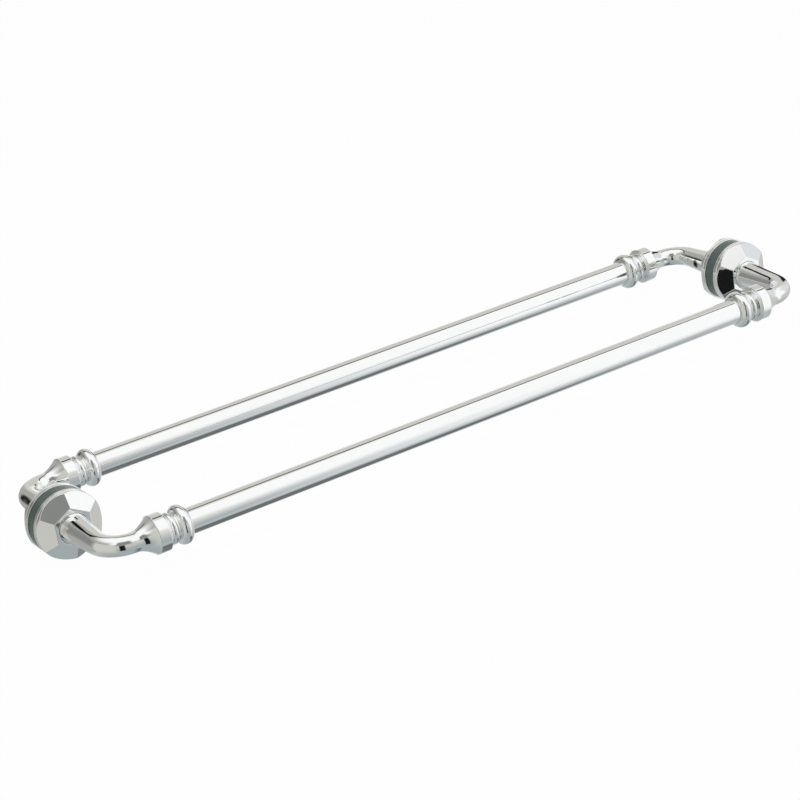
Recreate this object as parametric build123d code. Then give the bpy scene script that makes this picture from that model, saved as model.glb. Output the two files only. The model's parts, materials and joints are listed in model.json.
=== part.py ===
from build123d import *
import os
from math import pi, radians, sin, cos

# Back-to-back towel bar: two tubes on four bent posts, clamped through two holes in a glass panel.
# X runs along the bars, Y through the glass towards the rear bar, Z up. The origin is half way
# between the two holes, in the middle of the clamped stack. All sizes are in millimetres.

# Layout
mount_spacing = 610.0
bar_spacing = 141.0

# Tube
tube_diameter = 19.0
tube_wall = 1.0

# Ferrule, turned: spigot in the tube, bead, neck with a small ring, tenon in the post
spigot_length = 12.0
spigot_clearance = 0.1
bead_over_collar = 0.3
bead_width = 9.7
neck_diameter = 20.4
cove_width = 1.4
ring_diameter = 23.0
ring_width = 4.7
groove_width = 1.4
tenon_diameter = 14.0
tenon_length = 8.0
tenon_clearance = 0.1
socket_bottom_gap = 0.5

# Post, cast and bent like a horn
collar_diameter = 28.1
collar_width = 10.2
collar_chamfer = 0.4
collar_step_depth = 1.05
collar_step_width = 1.2
shoulder_step = 0.5
flare_length = 13.0
flare_bend = 4.8
arm_diameter = 14.6
elbow_radius = 19.5
root_diameter = 22.6
horn_power = 2.0
elbow_sections = 7
leg_sections = 4
tail_diameter = 16.0
tail_gap = 0.3

# Rosette with six facets
rim_diameter = 50.0
rosette_thickness = 12.6
plateau_width = 31.2
ridge_drop = 5.8
facet_count = 6
facet_round = 0.5
root_seat_depth = 2.0
root_clearance = 0.25
tail_clearance = 0.2
rim_groove_height = 3.2
rim_groove_width = 0.6
rim_groove_depth = 0.4

# Gasket and sleeve between the rosettes
gasket_diameter = 48.2
gasket_thickness = 5.0
sleeve_diameter = 12.0
sleeve_clearance = 0.2
sleeve_end_gap = 0.2

# Stud and set screw
stud_diameter = 8.0
stud_clearance = 0.1
stud_chamfer = 0.8
front_stud_depth = 20.0
rear_stud_depth = 36.0
stud_end_gap = 1.0
screw_diameter = 6.0
screw_length = 4.8
screw_clearance = 0.1
screw_from_stud_end = 5.0
screw_chamfer = 0.6
screw_mouth_diameter = 7.2
key_width = 3.0
key_depth = 2.4

# Distances from the middle of the clamped stack along Y
rosette_back = gasket_thickness
plateau_height = rosette_back + rosette_thickness
seat_height = plateau_height - root_seat_depth
tail_end = rosette_back + tail_gap
bar_height = bar_spacing / 2
elbow_start = bar_height - elbow_radius
front_stud_end = tail_end + front_stud_depth
rear_stud_end = tail_end + rear_stud_depth
screw_place = rear_stud_end - screw_from_stud_end

# Distances from the hole's axis along X towards the middle of the bar
collar_back = elbow_radius + flare_length
collar_front = collar_back + collar_width
collar_step = collar_front - collar_step_width
groove_end = collar_front + groove_width
ring_end = groove_end + ring_width
cove_end = ring_end + cove_width
tube_end = cove_end + bead_width

# Half sections that several pieces share, and the way rods are drawn up from their base
FROM_BASE = (Align.CENTER, Align.CENTER, Align.MIN)
tube_bore = tube_diameter / 2 - tube_wall
stud_radius = stud_diameter / 2
sleeve_bore = stud_radius + stud_clearance
leg_length = elbow_start - plateau_height
horn_length = elbow_radius * pi / 2 + leg_length


def along_y(radius, low, high):
    """Solid rod about the hole's axis, from one distance in front of the glass to another."""
    return Pos(0, -low, 0) * Rot(90, 0, 0) * Cylinder(radius, high - low, align=FROM_BASE)


def along_x(radius, near, far):
    """Solid rod about the bar's axis, between two distances from the hole's axis."""
    return Pos(-far, -bar_height, 0) * Rot(0, 90, 0) * Cylinder(radius, far - near, align=FROM_BASE)


def spun(profile):
    """Turn a closed half section, drawn above the X axis, about the bar's axis."""
    return Pos(0, -bar_height, 0) * revolve(make_face(profile), Axis.X)


def edges_of_radius(solid, radius):
    """The full circles of one radius, for rounding a turned shoulder."""
    circles = solid.edges().filter_by(GeomType.CIRCLE)
    return circles.filter_by(lambda edge: abs(edge.radius - radius) < 1e-6)


def bar_tube():
    """Thin brass tube, its ends against the beads."""
    length = mount_spacing - 2 * tube_end
    outside = Cylinder(tube_diameter / 2, length)
    return Pos(0, -bar_height, 0) * Rot(0, 90, 0) * (outside - Cylinder(tube_bore, length))


def ferrule():
    """Turned end piece: its bead covers the tube's end and its tenon enters the post's collar."""
    spigot = tube_bore - spigot_clearance
    neck = neck_diameter / 2
    tenon = tenon_diameter / 2
    bead_top = collar_diameter / 2 + bead_over_collar
    bead_middle = (cove_end + tube_end) / 2
    ring_middle = (groove_end + ring_end) / 2
    start = Polyline(
        (-collar_front + tenon_length, 0),
        (-collar_front + tenon_length, tenon),
        (-collar_front, tenon),
        (-collar_front, neck),
        (-groove_end, neck),
    )
    small_ring = ThreePointArc((-groove_end, neck), (-ring_middle, ring_diameter / 2), (-ring_end, neck))
    cove = Line((-ring_end, neck), (-cove_end, neck))
    bead = ThreePointArc((-cove_end, neck), (-bead_middle, bead_top), (-tube_end, neck))
    end = Polyline(
        (-tube_end, neck),
        (-tube_end, spigot),
        (-tube_end - spigot_length, spigot),
        (-tube_end - spigot_length, 0),
        (-collar_front + tenon_length, 0),
    )
    return spun(start + small_ring + cove + bead + end)


def collar_and_flare():
    """Collar with a thin step at its mouth and a concave trumpet behind it, narrowing to the arm."""
    arm = arm_diameter / 2
    collar = collar_diameter / 2
    step = collar - collar_step_depth
    mouth = collar - shoulder_step
    bend = (-elbow_radius - flare_bend, arm)
    flare = Bezier((-elbow_radius, arm), bend, (-collar_back, mouth))
    rest = Polyline(
        (-collar_back, mouth),
        (-collar_back, collar),
        (-collar_step, collar),
        (-collar_step, step),
        (-collar_front, step),
        (-collar_front, 0),
        (-elbow_radius, 0),
        (-elbow_radius, arm),
    )
    turned = spun(flare + rest)
    turned = chamfer(edges_of_radius(turned, collar), collar_chamfer)
    mouth_rim = edges_of_radius(turned, step).sort_by(Axis.X)[0]
    return chamfer(mouth_rim, collar_chamfer)


def horn_section(place, direction, travelled):
    """Round section of the bent arm, wider the further it is along the horn."""
    arm = arm_diameter / 2
    growth = (root_diameter / 2 - arm) * (travelled / horn_length) ** horn_power
    return Plane(origin=place, x_dir=(0, 0, 1), z_dir=direction) * Circle(arm + growth)


def horn():
    """Arm that turns from the bar to the glass and grows towards the rosette."""
    sections = []
    for step in range(elbow_sections):
        turn = radians(90.0 * step / (elbow_sections - 1))
        x = elbow_radius * (sin(turn) - 1)
        y = elbow_radius * (1 - cos(turn)) - bar_height
        sections.append(horn_section((x, y, 0), (cos(turn), sin(turn), 0), elbow_radius * turn))
    for step in range(1, leg_sections + 1):
        run = leg_length * step / leg_sections
        travelled = elbow_radius * pi / 2 + run
        sections.append(horn_section((0, run - elbow_start, 0), (0, 1, 0), travelled))
    return loft(sections)


def post(stud_depth):
    """Cast post: collar, flare, horn, root in the rosette's seat and a tail bored for the stud."""
    solid = collar_and_flare() + horn()
    solid += along_y(root_diameter / 2, seat_height, plateau_height)
    solid += along_y(tail_diameter / 2, tail_end, seat_height)
    socket = tenon_diameter / 2 + tenon_clearance
    solid -= along_x(socket, collar_front - tenon_length - socket_bottom_gap, collar_front)
    solid -= along_y(stud_radius + stud_clearance, tail_end, tail_end + stud_depth + stud_end_gap)
    return solid


def across_leg(radius, low, high):
    """Rod across the leg at the set screw's place, between two distances from the leg's axis."""
    return Pos(-high, -screw_place, 0) * Rot(0, 90, 0) * Cylinder(radius, high - low, align=FROM_BASE)


def leg_radius(height):
    """Radius of the straight leg at a distance from the middle of the stack."""
    arm = arm_diameter / 2
    travelled = elbow_radius * pi / 2 + elbow_start - height
    return arm + (root_diameter / 2 - arm) * (travelled / horn_length) ** horn_power


def rear_post():
    """Post with a tapped cross hole on the inner side, where the set screw grips the stud."""
    surface = leg_radius(screw_place)
    hole = across_leg(screw_diameter / 2 + screw_clearance, 0, surface + screw_diameter)
    widening = (screw_mouth_diameter - screw_diameter) / 2
    mouth = Pos(-surface, -screw_place, 0) * Rot(0, -90, 0) * Cone(
        screw_diameter / 2, screw_mouth_diameter / 2 + widening, 2 * widening)
    return post(rear_stud_depth) - hole - mouth


def rosette():
    """Round rose cut to facets around a flat top, with a seat for the post's root."""
    rim = rim_diameter / 2
    plateau = plateau_width / 2
    spread = plateau + (rim - plateau) * rosette_thickness / ridge_drop
    turn = 180.0 / facet_count
    base = RegularPolygon(spread, facet_count, rotation=turn)
    top = Pos(0, 0, rosette_thickness) * RegularPolygon(plateau, facet_count, rotation=turn)
    facets = loft([base, top], ruled=True)
    solid = facets & Cylinder(rim, rosette_thickness, align=FROM_BASE)
    sharp = solid.edges().filter_by(lambda edge: edge.center().Z > rosette_thickness - 2 * ridge_drop)
    solid = fillet(sharp, facet_round)
    groove = Cylinder(rim + rim_groove_depth, rim_groove_width) - Cylinder(
        rim - rim_groove_depth, rim_groove_width)
    solid -= Pos(0, 0, rim_groove_height) * groove
    solid = Pos(0, -rosette_back, 0) * Rot(90, 0, 0) * solid
    solid -= along_y(tail_diameter / 2 + tail_clearance, rosette_back, plateau_height)
    solid -= along_y(root_diameter / 2 + root_clearance, seat_height, plateau_height)
    return solid


def gasket():
    """Translucent vinyl disc between a rosette and the glass."""
    bore = sleeve_diameter / 2 + sleeve_clearance
    disc = along_y(gasket_diameter / 2, 0, gasket_thickness)
    return disc - along_y(bore, 0, gasket_thickness)


def stud():
    """Threaded rod through the glass, screwed into the front post and gripped in the rear one."""
    rod = along_y(stud_radius, -rear_stud_end, front_stud_end)
    return chamfer(edges_of_radius(rod, stud_radius), stud_chamfer)


def sleeve():
    """Nylon tube that keeps the stud off the glass."""
    reach = gasket_thickness - sleeve_end_gap
    return along_y(sleeve_diameter / 2, -reach, reach) - along_y(sleeve_bore, -reach, reach)


def set_screw():
    """Headless screw with a hexagon socket, its point against the stud."""
    outer_end = stud_radius + screw_length
    screw = across_leg(screw_diameter / 2, stud_radius, outer_end)
    screw = chamfer(edges_of_radius(screw, screw_diameter / 2), screw_chamfer)
    key = Pos(-outer_end, -screw_place, 0) * Rot(0, 90, 0) * extrude(
        RegularPolygon(key_width / 2, 6, major_radius=False), key_depth)
    return screw - key


def placed(solid, side, face):
    """Move a piece drawn for the front right corner to its own end and side of the glass."""
    if face == "rear":
        solid = mirror(solid, Plane.XZ)
    solid = Pos(mount_spacing / 2, 0, 0) * solid
    if side == "left":
        solid = mirror(solid, Plane.YZ)
    return solid


pieces = {}
tube = bar_tube()
corner_pieces = {"ferrule": ferrule(), "rosette": rosette(), "gasket": gasket()}
posts = {"front": post(front_stud_depth), "rear": rear_post()}
end_pieces = {"stud": stud(), "sleeve": sleeve()}
grip = set_screw()

for face in ("front", "rear"):
    pieces[f"{face}_bar_tube"] = tube if face == "front" else mirror(tube, Plane.XZ)
    for side in ("left", "right"):
        pieces[f"{face}_{side}_post"] = placed(posts[face], side, face)
        for name, solid in corner_pieces.items():
            pieces[f"{face}_{side}_{name}"] = placed(solid, side, face)

for side in ("left", "right"):
    pieces[f"{side}_set_screw"] = placed(grip, side, "rear")
    for name, solid in end_pieces.items():
        pieces[f"{side}_{name}"] = placed(solid, side, "front")

os.makedirs("parts", exist_ok=True)
for name, solid in pieces.items():
    export_step(solid, f"parts/{name}.step")
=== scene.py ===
import json
from collections import namedtuple
from math import cos, radians, sin

import bmesh
import bpy
from mathutils import Matrix, Vector


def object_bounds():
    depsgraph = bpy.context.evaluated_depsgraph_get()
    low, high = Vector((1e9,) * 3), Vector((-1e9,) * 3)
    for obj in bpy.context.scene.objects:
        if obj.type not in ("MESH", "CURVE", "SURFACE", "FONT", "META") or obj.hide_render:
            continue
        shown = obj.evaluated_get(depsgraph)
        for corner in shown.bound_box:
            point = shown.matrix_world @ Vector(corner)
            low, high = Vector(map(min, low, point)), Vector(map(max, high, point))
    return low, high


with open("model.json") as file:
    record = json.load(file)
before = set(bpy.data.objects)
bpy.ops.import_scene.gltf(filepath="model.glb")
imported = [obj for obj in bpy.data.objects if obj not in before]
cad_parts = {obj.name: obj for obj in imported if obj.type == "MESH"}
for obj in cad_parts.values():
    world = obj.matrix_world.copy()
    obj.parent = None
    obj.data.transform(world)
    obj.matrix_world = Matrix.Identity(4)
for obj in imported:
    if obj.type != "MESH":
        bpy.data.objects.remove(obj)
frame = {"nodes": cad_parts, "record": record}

# Back-to-back towel bar in polished chrome on a white sweep, metres throughout.
# X runs along the bars, Y through the glass towards the rear bar, Z up.

cad_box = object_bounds()

# The photograph's view, from a camera fitted to the outlines in it: where the camera stands and where the
# part's origin falls in the picture
picture_pixels = 800
focal_pixels = 2410.3
view_azimuth = -30.459
view_elevation = 22.36
view_roll = 7.984
view_distance = 1.81776
origin_right_pixels = 24.29
origin_down_pixels = -14.19
sensor_width_mm = 36.0

# Radius to which buffing has rounded the edges of the plated pieces, and the rays that look for them
polish_radius = 0.0008
polish_samples = 8

# Floor, world and lamp
floor_size = 30.0
floor_white = 0.88
floor_glow = 0.975
world_fill = 0.62
lamp_height = 1.5
lamp_size = 1.3
lamp_power = 9.0

# Colours of the studio's cloths and cards; cool_grey and dark_grey also paint the shade and shadow on the
# floor below the part
white = (1.0, 1.0, 1.0)
pale_blue = (0.72, 0.75, 0.77)
warm_light = (0.61, 0.60, 0.56)
cool_grey = (0.37, 0.41, 0.42)
warm_grey = (0.40, 0.40, 0.37)
deep_grey = (0.24, 0.25, 0.24)
dark_grey = (0.15, 0.16, 0.16)
black = (0.01, 0.01, 0.01)

# The studio around the part, which only the chrome sees: a white tent with grey panels.
# A panel's middle lies aside from the front, towards the right, and above the floor's level. Its sides
# and its upper and lower ends fade over their own widths. All in degrees.
Panel = namedtuple("Panel", "aside above half_width half_height soft_sides soft_ends colour")
tent_radius = 4.0
tent_segments = 64
tent_rings = 32
# Painted shade: below tent_floor_start the tent greys down to cool_grey at tent_floor_end, for the floor
# lying in the part's shade.
tent_floor_start = -10.0
tent_floor_end = -65.0
WALLS = {
    "left_room": Panel(-130.0, 5.0, 75.0, 60.0, 25.0, 25.0, warm_grey),
    "left_shade": Panel(-135.0, 15.0, 25.0, 25.0, 15.0, 15.0, deep_grey),
    "behind_camera": Panel(-45.0, -10.0, 70.0, 50.0, 10.0, 10.0, warm_light),
    # Painted shade: a grey panel in front, strongest on the floor just below the part and fading up past
    # the floor's level.
    "front_low_shade": Panel(-10.0, -40.0, 45.0, 65.0, 15.0, 60.0, cool_grey),
    "right_side": Panel(95.0, 0.0, 30.0, 45.0, 15.0, 15.0, pale_blue),
    "right_low": Panel(85.0, -25.0, 40.0, 30.0, 15.0, 15.0, warm_light),
    "back_side": Panel(140.0, 40.0, 40.0, 40.0, 20.0, 20.0, warm_light),
}
CARDS = {
    # Painted shadow: a dark card below the bars, where the chrome mirrors the part's own shadow on the
    # floor.
    "painted_shadow_under_bars": Panel(80.0, -65.0, 70.0, 15.0, 15.0, 10.0, dark_grey),
    "camera_stand": Panel(-30.0, -5.0, 10.0, 30.0, 5.0, 5.0, black),
    "above_camera": Panel(-25.0, 40.0, 30.0, 25.0, 15.0, 15.0, deep_grey),
    "left_gap": Panel(-155.0, 5.0, 10.0, 20.0, 10.0, 10.0, black),
    "right_stand": Panel(125.0, 10.0, 10.0, 15.0, 5.0, 5.0, black),
}

# Dark edge of the overhead softbox: a slanted strip behind the part
edge_middle = (0.0, 1.4, 1.8)
edge_direction = (1.0, 0.0, 1.0)
edge_half_length = 3.0
edge_left_end = -1.2
edge_half_width = 0.2
edge_soft = 0.13


class Wire:
    """A socket on which Python arithmetic adds Math nodes."""

    def __init__(self, graph, socket):
        self.graph = graph
        self.socket = socket

    def math(self, operation, *values):
        inputs = dict(enumerate(values))
        return self.graph.node("ShaderNodeMath", {"operation": operation}, inputs)

    def __add__(self, other):
        return self.math("ADD", self, other)

    def __radd__(self, other):
        return self.math("ADD", other, self)

    def __sub__(self, other):
        return self.math("SUBTRACT", self, other)

    def __rsub__(self, other):
        return self.math("SUBTRACT", other, self)

    def __mul__(self, other):
        return self.math("MULTIPLY", self, other)

    def __rmul__(self, other):
        return self.math("MULTIPLY", other, self)

    def __abs__(self):
        return self.math("ABSOLUTE", self)

    def most(self, limit):
        return self.math("MINIMUM", self, limit)


class Graph:
    """The nodes of one material or of the world."""

    def __init__(self, owner):
        owner.use_nodes = True
        self.tree = owner.node_tree
        self.tree.nodes.clear()

    def node(self, kind, settings=None, inputs=None, output=0):
        """Add a node: its settings first, then the value or link of each socket."""
        made = self.tree.nodes.new(kind)
        for name, value in (settings or {}).items():
            setattr(made, name, value)
        for name, value in (inputs or {}).items():
            if isinstance(value, Wire):
                self.tree.links.new(value.socket, made.inputs[name])
            else:
                made.inputs[name].default_value = value
        return Wire(self, made.outputs[output]) if made.outputs else None

    def mix(self, factor, first, second):
        """Blend two colours."""
        return self.node("ShaderNodeMix", {"data_type": "RGBA"}, {0: factor, 6: first, 7: second}, output=2)

    def place(self):
        return self.node("ShaderNodeTexCoord", output="Object")

    def noise(self, scale, detail=2.0, stretch=(1.0, 1.0, 1.0)):
        """Soft noise over the piece, scale in waves per metre."""
        turned = self.node("ShaderNodeMapping", None, {"Vector": self.place(), "Scale": stretch})
        inputs = {"Vector": turned, "Scale": scale, "Detail": detail}
        return self.node("ShaderNodeTexNoise", None, inputs, output="Fac")

    def span(self, value, low, high):
        """0 below low, 1 above high, smooth between."""
        settings = {"interpolation_type": "SMOOTHSTEP"}
        inputs = {"Value": value, "From Min": low, "From Max": high}
        return self.node("ShaderNodeMapRange", settings, inputs)

    def degrees(self, angle):
        return self.node("ShaderNodeMath", {"operation": "DEGREES"}, {0: angle})

    def soft_edges(self, radius):
        """Normal that turns smoothly over the edges, as polishing leaves them."""
        return self.node("ShaderNodeBevel", {"samples": polish_samples}, {"Radius": radius})

    def bump(self, height, strength, distance, normal=None):
        inputs = {"Height": height, "Strength": strength, "Distance": distance}
        if normal:
            inputs["Normal"] = normal
        return self.node("ShaderNodeBump", None, inputs)

    def surface(self, shader):
        self.node("ShaderNodeOutputMaterial", None, {"Surface": shader})


def rgba(colour):
    return (*colour, 1.0)


def new_material(name):
    material = bpy.data.materials.new(name)
    return material, Graph(material)


def chrome():
    """Mirror plate with the faint haze and ripple of buffed metal."""
    material, g = new_material("polished_chrome")
    haze = g.noise(90.0, detail=4.0)
    ripple = g.noise(38.0, detail=1.0)
    tint = g.mix(haze, rgba((0.93, 0.94, 0.945)), rgba((0.955, 0.96, 0.955)))
    shader = g.node("ShaderNodeBsdfPrincipled", None, {
        "Base Color": tint,
        "Metallic": 1.0,
        "Roughness": 0.025 + 0.03 * haze,
        "Normal": g.bump(ripple, 0.05, 0.0002, g.soft_edges(polish_radius)),
    })
    g.surface(shader)
    return material


def vinyl():
    """Soft grey-green vinyl, slightly cloudy."""
    material, g = new_material("grey_vinyl")
    cloud = g.noise(160.0, detail=3.0)
    grain = g.noise(1400.0, detail=2.0)
    shader = g.node("ShaderNodeBsdfPrincipled", None, {
        "Base Color": g.mix(cloud, rgba((0.08, 0.105, 0.095)), rgba((0.13, 0.16, 0.15))),
        "Roughness": 0.2 + 0.15 * cloud,
        "Normal": g.bump(grain, 0.2, 0.00005),
        "IOR": 1.5,
    })
    g.surface(shader)
    return material


def steel():
    """Turned steel with fine rings and a dark oiled finish."""
    material, g = new_material("oiled_steel")
    rings = g.noise(500.0, detail=2.0, stretch=(1.0, 8.0, 1.0))
    shader = g.node("ShaderNodeBsdfPrincipled", None, {
        "Base Color": g.mix(rings, rgba((0.16, 0.16, 0.165)), rgba((0.30, 0.30, 0.31))),
        "Metallic": 1.0,
        "Roughness": 0.28 + 0.2 * rings,
        "Normal": g.bump(rings, 0.2, 0.00005),
    })
    g.surface(shader)
    return material


def nylon():
    """Natural nylon, milky white."""
    material, g = new_material("natural_nylon")
    cloud = g.noise(220.0, detail=2.0)
    shader = g.node("ShaderNodeBsdfPrincipled", None, {
        "Base Color": g.mix(cloud, rgba((0.78, 0.77, 0.72)), rgba((0.86, 0.85, 0.81))),
        "Roughness": 0.42 + 0.1 * cloud,
        "IOR": 1.53,
    })
    g.surface(shader)
    return material


def seen_ray(graph):
    """1 for what the camera sees, mirrored or seen through too, 0 for light that only bounces."""
    ways = [graph.node("ShaderNodeLightPath", output=f"Is {kind} Ray")
            for kind in ("Camera", "Glossy", "Transmission")]
    return (ways[0] + ways[1] + ways[2]).most(1.0)


def dress_nodes():
    """Give every node the finish of its slot in the record."""
    finishes = {"chrome": chrome(), "vinyl": vinyl(), "steel": steel(), "nylon": nylon()}
    for entry in frame["record"]["subparts"]:
        mesh = frame["nodes"][entry["node"]].data
        mesh.materials.clear()
        mesh.materials.append(finishes[entry["material_slot"]])


def stage_piece(name, mesh, turned, material):
    """A piece of the studio made from a bmesh, which is freed."""
    data = bpy.data.meshes.new(name)
    mesh.to_mesh(data)
    mesh.free()
    data.materials.append(material)
    piece = bpy.data.objects.new(name, data)
    piece.matrix_world = turned
    bpy.context.scene.collection.objects.link(piece)
    return piece


def flat_card(name, half_width, half_height, turned, material):
    """A rectangle in its own XY plane, turned into place."""
    mesh = bmesh.new()
    bmesh.ops.create_grid(mesh, x_segments=1, y_segments=1, size=1.0)
    bmesh.ops.scale(mesh, vec=(half_width, half_height, 1.0), verts=mesh.verts)
    return stage_piece(name, mesh, turned, material)


def only_in_chrome(piece):
    piece.visible_camera = False
    piece.visible_diffuse = False
    piece.visible_shadow = False


def facing(middle, across, inward):
    """Matrix that puts a card's X along across and its Z along inward."""
    x_axis = Vector(across).normalized()
    z_axis = Vector(inward).normalized()
    y_axis = z_axis.cross(x_axis).normalized()
    x_axis = y_axis.cross(z_axis)
    turned = Matrix((x_axis, y_axis, z_axis)).transposed()
    return Matrix.Translation(middle) @ turned.to_4x4()


def lay_panel(g, shade, longitude, latitude, panel):
    """Blend one panel over what the tent shows so far."""
    turned = longitude - panel.aside
    away = abs(turned.math("WRAP", turned, 180.0, -180.0))
    height = abs(latitude - panel.above)
    across = 1.0 - g.span(away, panel.half_width - panel.soft_sides, panel.half_width)
    along = 1.0 - g.span(height, panel.half_height - panel.soft_ends, panel.half_height)
    return g.mix(across * along, shade, rgba(panel.colour))


def tent_finish():
    """White walls with grey panels, a grey floor below that is painted shade, darker towards the bottom,
    and the cards over both, one of them a painted shadow below the bars.
    """
    material, g = new_material("studio_tent")
    way = g.node("ShaderNodeVectorMath", {"operation": "NORMALIZE"}, {0: g.place()})
    x, y, z = (g.node("ShaderNodeSeparateXYZ", None, {0: way}, output=axis) for axis in "XYZ")
    longitude = g.degrees(x.math("ARCTAN2", x, 0.0 - y))
    latitude = g.degrees(z.math("ARCSINE", z))
    shade = rgba(white)
    for wall in WALLS.values():
        shade = lay_panel(g, shade, longitude, latitude, wall)
    # Painted shade: the tent greys downwards from tent_floor_start to tent_floor_end, standing in for the
    # floor in the part's shade as the chrome mirrors it.
    low = 1.0 - g.span(latitude, tent_floor_end, tent_floor_start)
    shade = g.mix(low, shade, rgba(cool_grey))
    for card in CARDS.values():
        shade = lay_panel(g, shade, longitude, latitude, card)
    g.surface(g.node("ShaderNodeEmission", None, {"Color": shade}))
    return material


def edge_finish():
    """Black strip that fades out to clear along its sides and at its left end."""
    material, g = new_material("softbox_edge")
    x, y = (g.node("ShaderNodeSeparateXYZ", None, {0: g.place()}, output=axis) for axis in "XY")
    sides = 1.0 - g.span(abs(y), edge_half_width - edge_soft, edge_half_width)
    end = g.span(x, edge_left_end, edge_left_end + edge_half_width)
    clear = g.node("ShaderNodeBsdfTransparent")
    black = g.node("ShaderNodeEmission", None, {"Color": rgba((0.0, 0.0, 0.0))})
    g.surface(g.node("ShaderNodeMixShader", None, {0: sides * end, 1: clear, 2: black}))
    return material


def pitch_tent():
    """The tent and the softbox's edge, seen only in the chrome."""
    mesh = bmesh.new()
    bmesh.ops.create_uvsphere(mesh, u_segments=tent_segments, v_segments=tent_rings, radius=tent_radius)
    only_in_chrome(stage_piece("studio_tent", mesh, Matrix(), tent_finish()))
    turned = facing(Vector(edge_middle), edge_direction, -Vector(edge_middle))
    only_in_chrome(flat_card("softbox_edge", edge_half_length, edge_half_width, turned, edge_finish()))


def lay_floor():
    """White floor that keeps a faint shadow. The chrome mirrors the tent instead of it."""
    material, g = new_material("white_floor")
    matt = g.node("ShaderNodeBsdfDiffuse", None, {"Color": rgba((floor_white,) * 3)})
    white = g.node("ShaderNodeEmission", None, {"Strength": 1.0})
    g.surface(g.node("ShaderNodeMixShader", None, {0: floor_glow * seen_ray(g), 1: matt, 2: white}))
    bottom = Matrix.Translation((0.0, 0.0, cad_box[0][2]))
    floor = flat_card("floor", floor_size, floor_size, bottom, material)
    floor.visible_glossy = False


def light_studio():
    """White world, and one soft lamp overhead for the shadow."""
    world = bpy.data.worlds.new("white_tent")
    bpy.context.scene.world = world
    g = Graph(world)
    strength = world_fill + (1.0 - world_fill) * seen_ray(g)
    white = g.node("ShaderNodeBackground", None, {"Strength": strength})
    g.node("ShaderNodeOutputWorld", None, {"Surface": white})

    lamp = bpy.data.lights.new("overhead_lamp", "AREA")
    lamp.size = lamp_size
    lamp.energy = lamp_power
    holder = bpy.data.objects.new("overhead_lamp", lamp)
    holder.location = (0.0, 0.0, lamp_height)
    holder.visible_glossy = False
    bpy.context.scene.collection.objects.link(holder)


def set_camera():
    """Camera at the photograph's place, turned a little about its own axis."""
    turn = radians(view_azimuth)
    rise = radians(view_elevation)
    roll = radians(view_roll)
    forward = Vector((-sin(turn) * cos(rise), cos(turn) * cos(rise), -sin(rise)))
    level_right = forward.cross(Vector((0.0, 0.0, 1.0))).normalized()
    level_down = forward.cross(level_right)
    right = cos(roll) * level_right + sin(roll) * level_down
    down = cos(roll) * level_down - sin(roll) * level_right
    aim = forward + (origin_right_pixels * right + origin_down_pixels * down) / focal_pixels

    data = bpy.data.cameras.new("photo_view")
    data.sensor_width = sensor_width_mm
    data.lens = focal_pixels * sensor_width_mm / picture_pixels
    data.clip_end = 4 * floor_size
    camera = bpy.data.objects.new("photo_view", data)
    turned = Matrix((right, -down, -forward)).transposed()
    camera.matrix_world = Matrix.Translation(-view_distance * aim) @ turned.to_4x4()
    bpy.context.scene.collection.objects.link(camera)
    bpy.context.scene.camera = camera


bpy.context.scene.view_settings.view_transform = "Standard"
dress_nodes()
lay_floor()
pitch_tent()
light_studio()
set_camera()
